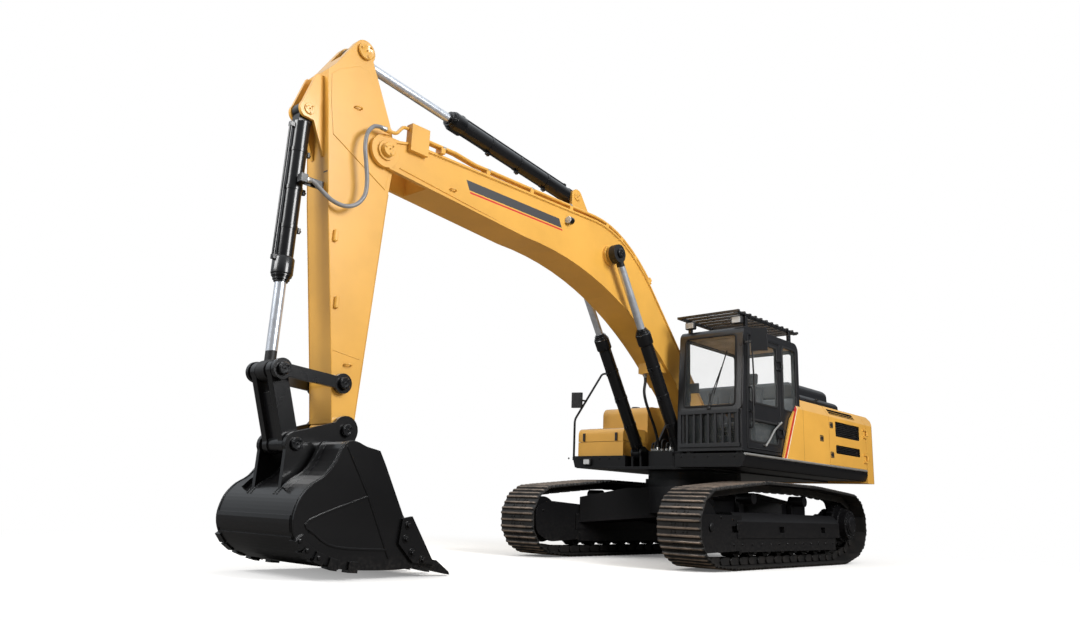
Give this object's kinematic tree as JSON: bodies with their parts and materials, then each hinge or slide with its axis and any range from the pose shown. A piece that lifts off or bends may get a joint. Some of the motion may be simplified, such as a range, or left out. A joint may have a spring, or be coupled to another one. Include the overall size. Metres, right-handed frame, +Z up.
{
  "type": "crawler excavator",
  "caption": "Hydraulic crawler excavator with a slewing cab and engine house, gooseneck boom, arm, bucket linkage and toothed digging bucket.",
  "frame": {"origin": "on the ground under the swing axis", "axes": "+X forward along the boom, +Y to the operator's left, +Z up"},
  "size_m": [10.5723, 3.4734, 5.2648],
  "materials": {
    "yellow_paint": "gloss",
    "dark_paint": "satin",
    "track_steel": "worn",
    "chrome_rod": "polished",
    "cab_paint": "satin",
    "clear_glass": "clear",
    "seat_cloth": "woven",
    "black_plastic": "matte",
    "hood_black": "gloss",
    "rail_grey": "satin",
    "hose_grey": "matte",
    "engine_grey": "matte"
  },
  "bodies": {
    "undercarriage": {"car_body": "dark_paint", "left_track_frame": "dark_paint", "right_track_frame": "dark_paint", "left_track": "track_steel", "right_track": "track_steel", "left_idler": "dark_paint", "right_idler": "dark_paint", "left_final_drive": "dark_paint", "right_final_drive": "dark_paint"},
    "upper": {"main_frame": "dark_paint", "counterweight": "yellow_paint", "engine_block": "engine_grey", "engine_cover": "yellow_paint", "left_side_panel": "yellow_paint", "fuel_tank": "yellow_paint", "hydraulic_tank": "yellow_paint", "toolbox": "yellow_paint", "exhaust_stack": "dark_paint", "right_handrail": "dark_paint", "cab_frame": "cab_paint", "cab_roof": "cab_paint", "cab_glass": "clear_glass", "roof_guard": "dark_paint", "front_guard": "dark_paint", "cab_mirror": "black_plastic", "seat": "seat_cloth", "left_console": "black_plastic", "right_console": "black_plastic", "travel_levers": "black_plastic", "left_boom_hose": "hose_grey", "right_boom_hose": "hose_grey"},
    "cab_door": {"cab_door": "cab_paint", "cab_door_glass": "clear_glass", "door_rail": "rail_grey"},
    "cooler_door": {"left_cooler_door": "yellow_paint"},
    "pump_door": {"right_pump_door": "yellow_paint"},
    "hood": {"engine_hood": "hood_black"},
    "box_lid": {"toolbox_lid": "yellow_paint"},
    "boom": {"boom": "yellow_paint", "boom_tubes": "yellow_paint", "boom_lamps": "black_plastic", "arm_hose": "hose_grey"},
    "arm": {"arm": "yellow_paint"},
    "bucket": {"bucket": "dark_paint"},
    "rocker": {"left_rocker": "dark_paint", "right_rocker": "dark_paint"},
    "link": {"bucket_link": "dark_paint"},
    "left_boom_barrel": {"left_boom_barrel": "dark_paint"},
    "right_boom_barrel": {"right_boom_barrel": "dark_paint"},
    "left_boom_rod": {"left_boom_rod": "chrome_rod"},
    "right_boom_rod": {"right_boom_rod": "chrome_rod"},
    "arm_barrel": {"arm_barrel": "dark_paint"},
    "arm_rod": {"arm_rod": "chrome_rod"},
    "bucket_barrel": {"bucket_barrel": "dark_paint"},
    "bucket_rod": {"bucket_rod": "chrome_rod"}
  },
  "joints": [
    {"name": "swing", "type": "hinge", "parent": "undercarriage", "child": "upper", "pos_m": [0, 0, 0], "axis": [0, 0, 1], "continuous": true},
    {"name": "boom_lift", "type": "hinge", "parent": "upper", "child": "boom", "pos_m": [0.13, 0, 2.03], "axis": [0, -1, 0], "range_deg": [-45, 35], "deforming": ["left_boom_hose", "right_boom_hose"]},
    {"name": "arm_crowd", "type": "hinge", "parent": "boom", "child": "arm", "pos_m": [6.24, 0, 4.15], "axis": [0, 1, 0], "range_deg": [-75, 35], "deforming": ["arm_hose"]},
    {"name": "bucket_curl", "type": "hinge", "parent": "arm", "child": "bucket", "pos_m": [6.43, 0, 1.29], "axis": [0, 1, 0], "range_deg": [-50, 95]},
    {"name": "rocker_swing", "type": "hinge", "parent": "arm", "child": "rocker", "pos_m": [6.5, 0, 1.72], "axis": [0, 1, 0], "range_deg": [-40.2, 76.1]},
    {"name": "link_swing", "type": "hinge", "parent": "bucket", "child": "link", "pos_m": [6.94, 0, 1.13], "axis": [0, 1, 0], "range_deg": [-57.2, 30.1]},
    {"name": "left_boom_ram", "type": "hinge", "parent": "upper", "child": "left_boom_barrel", "pos_m": [0.92, 0.355, 1.48], "axis": [0, -1, 0], "range_deg": [-45.1, 35.1]},
    {"name": "left_boom_stroke", "type": "slide", "parent": "left_boom_barrel", "child": "left_boom_rod", "axis": [0.5269, 0, 0.8499], "range_m": [-0.697, 0.542]},
    {"name": "right_boom_ram", "type": "hinge", "parent": "upper", "child": "right_boom_barrel", "pos_m": [0.92, -0.355, 1.48], "axis": [0, -1, 0], "range_deg": [-45.1, 35.1]},
    {"name": "right_boom_stroke", "type": "slide", "parent": "right_boom_barrel", "child": "right_boom_rod", "axis": [0.5269, 0, 0.8499], "range_m": [-0.697, 0.542]},
    {"name": "arm_ram", "type": "hinge", "parent": "boom", "child": "arm_barrel", "pos_m": [3.03, 0, 4.67], "axis": [0, 1, 0], "range_deg": [-2.4, 1.2]},
    {"name": "arm_stroke", "type": "slide", "parent": "arm_barrel", "child": "arm_rod", "axis": [0.9913, 0, 0.132], "range_m": [-1.18, 0.551]},
    {"name": "bucket_ram", "type": "hinge", "parent": "arm", "child": "bucket_barrel", "pos_m": [7.08, 0, 4.32], "axis": [0, 1, 0], "range_deg": [-2.4, 4.4]},
    {"name": "bucket_stroke", "type": "slide", "parent": "bucket_barrel", "child": "bucket_rod", "axis": [0.0235, 0, -0.9997], "range_m": [-0.377, 0.714]},
    {"name": "door_swing", "type": "hinge", "parent": "upper", "child": "cab_door", "pos_m": [0.06, 1.477, 0], "axis": [0, 0, 1], "range_deg": [0, 160]},
    {"name": "cooler_door_swing", "type": "hinge", "parent": "upper", "child": "cooler_door", "pos_m": [-2.896, 1.504, 0], "axis": [0, 0, 1], "range_deg": [0, 110]},
    {"name": "pump_door_swing", "type": "hinge", "parent": "upper", "child": "pump_door", "pos_m": [-2.896, -1.504, 0], "axis": [0, 0, -1], "range_deg": [0, 110]},
    {"name": "hood_lift", "type": "hinge", "parent": "upper", "child": "hood", "pos_m": [-1.418, 0, 2.358], "axis": [0, 1, 0], "range_deg": [0, 60]},
    {"name": "box_lid_lift", "type": "hinge", "parent": "upper", "child": "box_lid", "pos_m": [0.359, 0, 1.868], "axis": [0, -1, 0], "range_deg": [0, 75]}
  ],
  "couplings": [
    {"joint": "rocker_swing", "follows": "bucket_curl", "ratio": 0.8},
    {"joint": "link_swing", "follows": "bucket_curl", "ratio": -0.6},
    {"joint": "left_boom_ram", "follows": "boom_lift", "ratio": 1},
    {"joint": "right_boom_ram", "follows": "boom_lift", "ratio": 1},
    {"joint": "left_boom_stroke", "follows": "boom_lift", "m_per_rad": 0.885},
    {"joint": "right_boom_stroke", "follows": "boom_lift", "m_per_rad": 0.885},
    {"joint": "arm_ram", "follows": "arm_crowd", "ratio": 0.03},
    {"joint": "arm_stroke", "follows": "arm_crowd", "m_per_rad": 0.9},
    {"joint": "bucket_ram", "follows": "bucket_curl", "ratio": 0.045},
    {"joint": "bucket_stroke", "follows": "bucket_curl", "m_per_rad": 0.43}
  ]
}
